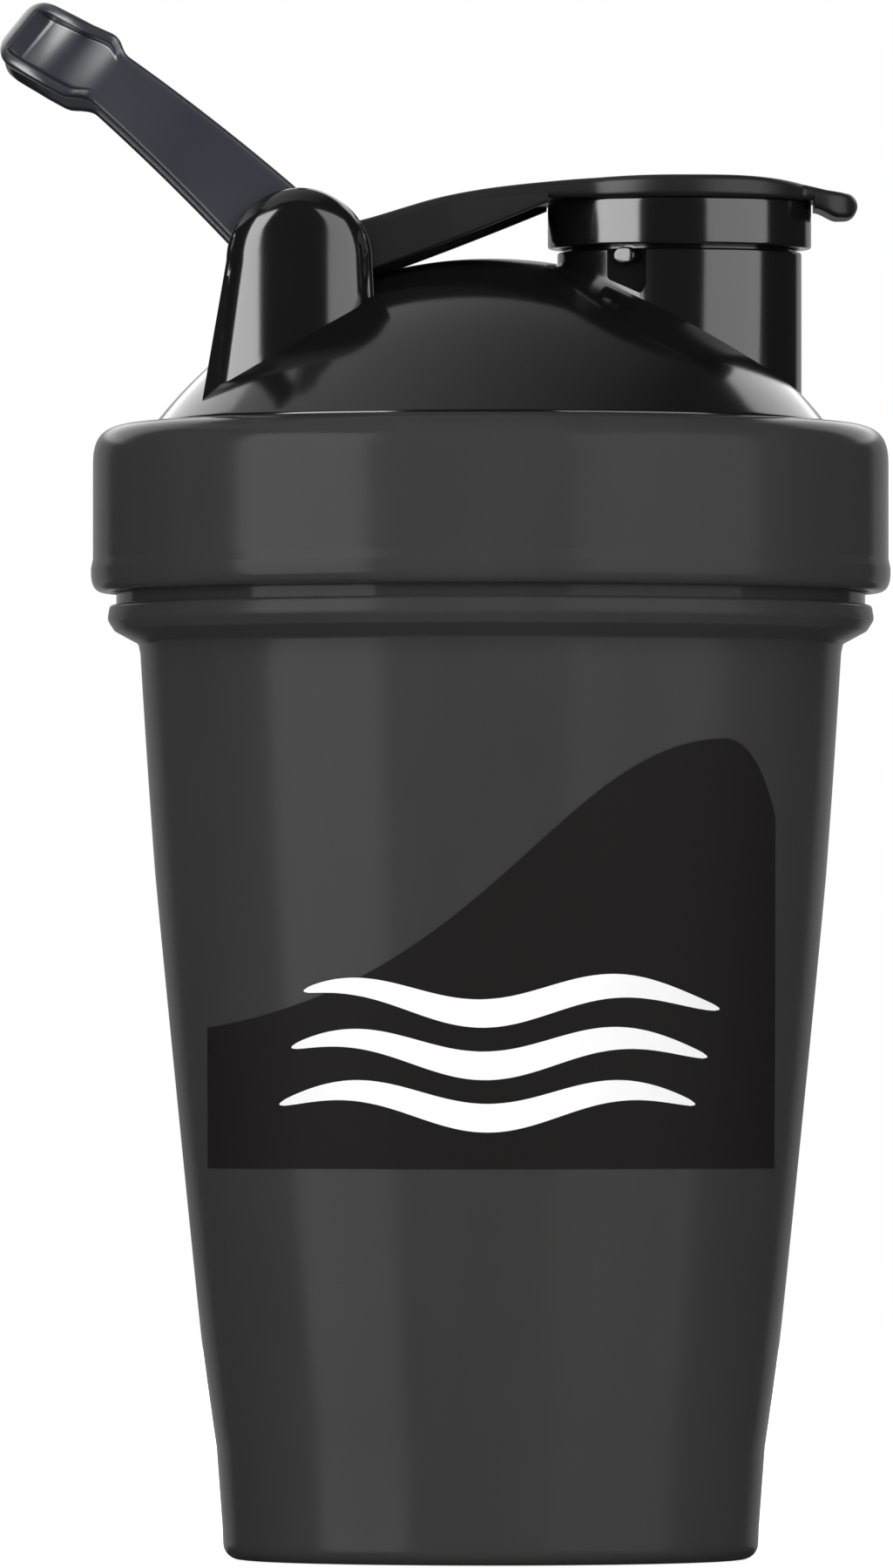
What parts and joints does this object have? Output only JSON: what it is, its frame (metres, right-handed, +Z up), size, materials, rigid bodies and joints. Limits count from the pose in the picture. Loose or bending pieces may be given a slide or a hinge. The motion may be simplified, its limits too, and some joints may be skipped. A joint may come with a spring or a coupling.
{
  "type": "protein shaker bottle",
  "caption": "Shaker bottle with a tapered cup, a screw-on domed lid with a round spout, a hinged flip cap, a folding carry loop and a loose wire whisk ball.",
  "frame": {"origin": "centre of the cup's base, on the surface it stands on", "axes": "+Z up along the cup's axis; +X towards the spout, so the hinge and the carry loop are towards -X"},
  "size_m": [0.1108, 0.0996, 0.193],
  "materials": {
    "cup_plastic": "satin charcoal polypropylene",
    "label_film": "near-black printed film with plain white waves",
    "collar_plastic": "satin charcoal polypropylene",
    "seal_rubber": "matt pale grey silicone",
    "dome_plastic": "polished black polypropylene",
    "pin_steel": "drawn stainless pin",
    "arm_plastic": "satin dark grey polypropylene",
    "loop_plastic": "satin slate grey-blue polypropylene",
    "whisk_steel": "bright stainless wire"
  },
  "bodies": {
    "cup": {"cup_body": "cup_plastic", "front_label": "label_film"},
    "lid_seal": {"lid_seal_ring": "seal_rubber"},
    "lid": {"lid_collar": "collar_plastic", "lid_dome": "dome_plastic", "hinge_pin": "pin_steel"},
    "flip_cap": {"flip_cap_arm": "arm_plastic", "spout_cap": "dome_plastic"},
    "carry_loop": {"carry_loop": "loop_plastic"},
    "whisk": {"whisk_ball": "whisk_steel"}
  },
  "joints": [
    {"name": "lid_lift", "type": "slide", "parent": "cup", "child": "lid_seal", "axis": [0, 0, 1], "range_m": [0, 0.02]},
    {"name": "lid_unscrew", "type": "hinge", "parent": "lid_seal", "child": "lid", "pos_m": [0, 0, 0.13], "axis": [0, 0, 1], "range_deg": [0, 720]},
    {"name": "flip_cap_hinge", "type": "hinge", "parent": "lid", "child": "flip_cap", "pos_m": [-0.0237, 0, 0.16076], "axis": [0, -1, 0], "range_deg": [0, 100]},
    {"name": "loop_hinge", "type": "hinge", "parent": "lid", "child": "carry_loop", "pos_m": [-0.0237, 0, 0.16076], "axis": [0, -1, 0], "range_deg": [-8, 66]},
    {"name": "whisk_slide", "type": "slide", "parent": "cup", "child": "whisk", "axis": [0, 0, 1], "range_m": [0, 0.08]}
  ],
  "couplings": [
    {"joint": "lid_lift", "follows": "lid_unscrew", "m_per_rad": 0.0015915}
  ]
}
